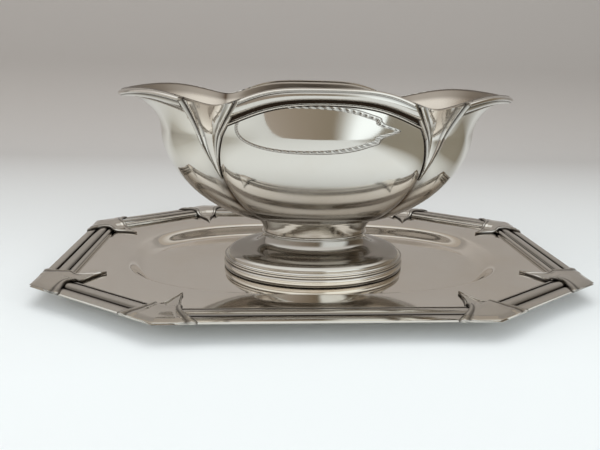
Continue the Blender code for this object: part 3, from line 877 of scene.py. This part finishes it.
def add_stage():
    """A pale floor that curves up into a greyer backdrop, grey partly by its own tone and partly by painted
    fall-off of the light.
    """
    depth, radius, height, half = 0.40, 0.10, 0.9, 1.4
    profile = [(-FLOOR_FRONT, 0.0), (0.0, 0.0), (depth - radius, 0.0)]
    profile += [(depth - radius + radius * math.sin(a), radius - radius * math.cos(a))
                for a in (math.pi / 2 * i / 12 for i in range(1, 13))]
    profile.append((depth, height))
    points, faces = [], []
    for y, z in profile:
        points += [(-half, y, z - 0.0001), (half, y, z - 0.0001)]
    for row in range(len(profile) - 1):
        faces.append((2 * row, 2 * row + 1, 2 * row + 3, 2 * row + 2))
    mesh = bpy.data.meshes.new("sweep")
    mesh.from_pydata(points, [], faces)
    mesh.shade_smooth()
    mesh.materials.append(card())
    sweep = bpy.data.objects.new("sweep", mesh)
    bpy.context.scene.collection.objects.link(sweep)


def card():
    """Matt card: white where the object stands, greyer and warmer towards the back, partly its own tone and
    partly painted fall-off of the light.
    """
    made = bpy.data.materials.new("pale_card")
    made.use_nodes = True
    tree = made.node_tree
    shader = tree.nodes["Principled BSDF"]
    shader.inputs["Roughness"].default_value = 0.95
    shader.inputs["Specular IOR Level"].default_value = 0.1
    place = node(tree, "ShaderNodeNewGeometry")
    split = node(tree, "ShaderNodeSeparateXYZ")
    tree.links.new(place.outputs["Position"], split.inputs["Vector"])
    ramp = colour_ramp(tree, map_range(tree, split.outputs["Y"], -0.10, 0.42), CARD_TONES_AND_FALLOFF)
    # Painted reflections: glossy rays near the front see these bands instead of the plain card.
    sides = colour_ramp(tree, map_range(tree, split.outputs["X"], -0.5, 0.5), FLOOR_PAINTED_REFLECTIONS)
    path = node(tree, "ShaderNodeLightPath")
    toned = node(tree, "ShaderNodeMix", data_type="RGBA", blend_type="MULTIPLY")
    mirrored = node(tree, "ShaderNodeMath", operation="MULTIPLY")
    tree.links.new(path.outputs["Is Glossy Ray"], mirrored.inputs[0])
    tree.links.new(map_range(tree, split.outputs["Y"], 0.08, -0.02), mirrored.inputs[1])
    tree.links.new(mirrored.outputs["Value"], toned.inputs["Factor"])
    tree.links.new(ramp, toned.inputs["A"])
    tree.links.new(sides, toned.inputs["B"])
    tree.links.new(toned.outputs["Result"], shader.inputs["Base Color"])
    return made


def add_lamp(name, place, aim, size, watts, colour):
    data = bpy.data.lights.new(name, "AREA")
    data.shape = "RECTANGLE"
    data.size, data.size_y = size
    data.energy = watts
    data.color = colour
    lamp = bpy.data.objects.new(name, data)
    lamp.location = place
    lamp.visible_glossy = False
    lamp.rotation_euler = (Vector(aim) - Vector(place)).to_track_quat("-Z", "Y").to_euler()
    bpy.context.scene.collection.objects.link(lamp)


def room_colour(tree):
    """What the silver mirrors: walls toned by their direction, under a ceiling that is paler in front."""
    place = node(tree, "ShaderNodeTexCoord")
    around = node(tree, "ShaderNodeTexGradient", gradient_type="RADIAL")
    tree.links.new(place.outputs["Generated"], around.inputs["Vector"])
    walls = colour_ramp(tree, around.outputs["Fac"], ROOM_WALLS)
    split = node(tree, "ShaderNodeSeparateXYZ")
    tree.links.new(place.outputs["Generated"], split.inputs["Vector"])
    ceiling = node(tree, "ShaderNodeMix", data_type="RGBA")
    ceiling.inputs["A"].default_value = (*CEILING_FRONT, 1)
    ceiling.inputs["B"].default_value = (*CEILING_BACK, 1)
    tree.links.new(map_range(tree, split.outputs["Y"], -0.25, 0.25), ceiling.inputs["Factor"])
    room = node(tree, "ShaderNodeMix", data_type="RGBA")
    tree.links.new(map_range(tree, split.outputs["Z"], 0.42, 0.62), room.inputs["Factor"])
    tree.links.new(walls, room.inputs["A"])
    tree.links.new(ceiling.outputs["Result"], room.inputs["B"])
    return room.outputs["Result"]


def add_room():
    world = bpy.data.worlds.new("studio")
    bpy.context.scene.world = world
    world.use_nodes = True
    tree = world.node_tree
    path = node(tree, "ShaderNodeLightPath")
    seen = node(tree, "ShaderNodeMix", data_type="RGBA")
    seen.inputs["B"].default_value = (*BACKDROP, 1)
    tree.links.new(path.outputs["Is Camera Ray"], seen.inputs["Factor"])
    tree.links.new(room_colour(tree), seen.inputs["A"])
    tree.links.new(seen.outputs["Result"], tree.nodes["Background"].inputs["Color"])


def add_lamps():
    """Soft panels above and at both sides, which the silver itself doesn't mirror."""
    add_lamp("top_panel", (0.0, 0.05, 0.70), (0.0, -0.05, 0.0), (0.6, 0.4), 1.9, (0.97, 0.99, 1.0))
    add_lamp("right_panel", (0.75, -0.45, 0.40), (0.0, 0.0, 0.05), (0.30, 0.40), 1.2, (0.96, 0.99, 1.0))
    add_lamp("left_panel", (-0.80, -0.10, 0.40), (0.0, 0.0, 0.05), (0.40, 0.40), 1.2, (1.0, 0.98, 0.96))


def add_camera():
    eye = Vector((-0.0248, -0.2503, 0.1100))
    right = Vector((0.99799, -0.05832, 0.02468))
    ahead = Vector((0.06318, 0.94310, -0.32646)).normalized()
    up = right.cross(ahead).normalized()
    right = ahead.cross(up)
    data = bpy.data.cameras.new("camera")
    data.lens = 29.1
    data.sensor_width = 36.0
    data.clip_start = 0.01
    camera = bpy.data.objects.new("camera", data)
    turn = Matrix((right, up, -ahead)).transposed()
    camera.matrix_world = Matrix.Translation(eye) @ turn.to_4x4()
    bpy.context.scene.collection.objects.link(camera)
    bpy.context.scene.camera = camera


def build():
    bright = silver("bright_silver_plate", (0.76, 0.735, 0.685), (0.08, 0.055, 0.035), 0.04, 0.06, 0.25)
    trim = silver("trim_silver_plate", (0.74, 0.71, 0.66), (0.022, 0.014, 0.009), 0.07, 0.07, 0.15)
    dish = silver("dish_silver_plate", (0.88, 0.84, 0.785), (0.08, 0.055, 0.035), 0.05, 0.06, 0.30)
    inside = silver("inside_silver_plate", (0.62, 0.56, 0.49), (0.10, 0.07, 0.05), 0.20, 0.10, 0.25)
    add_bowl(bright, inside)
    add_bowl_trim(trim)
    add_cartouche(trim)
    add_foot_ring(bright)
    add_flare(bright)
    add_waist(trim)
    add_stem(bright)
    add_plate(dish)
    add_borders(trim)
    add_tray_ties(trim)
    add_stage()
    add_room()
    add_lamps()
    add_camera()
    bpy.context.scene.view_settings.view_transform = "Standard"


build()
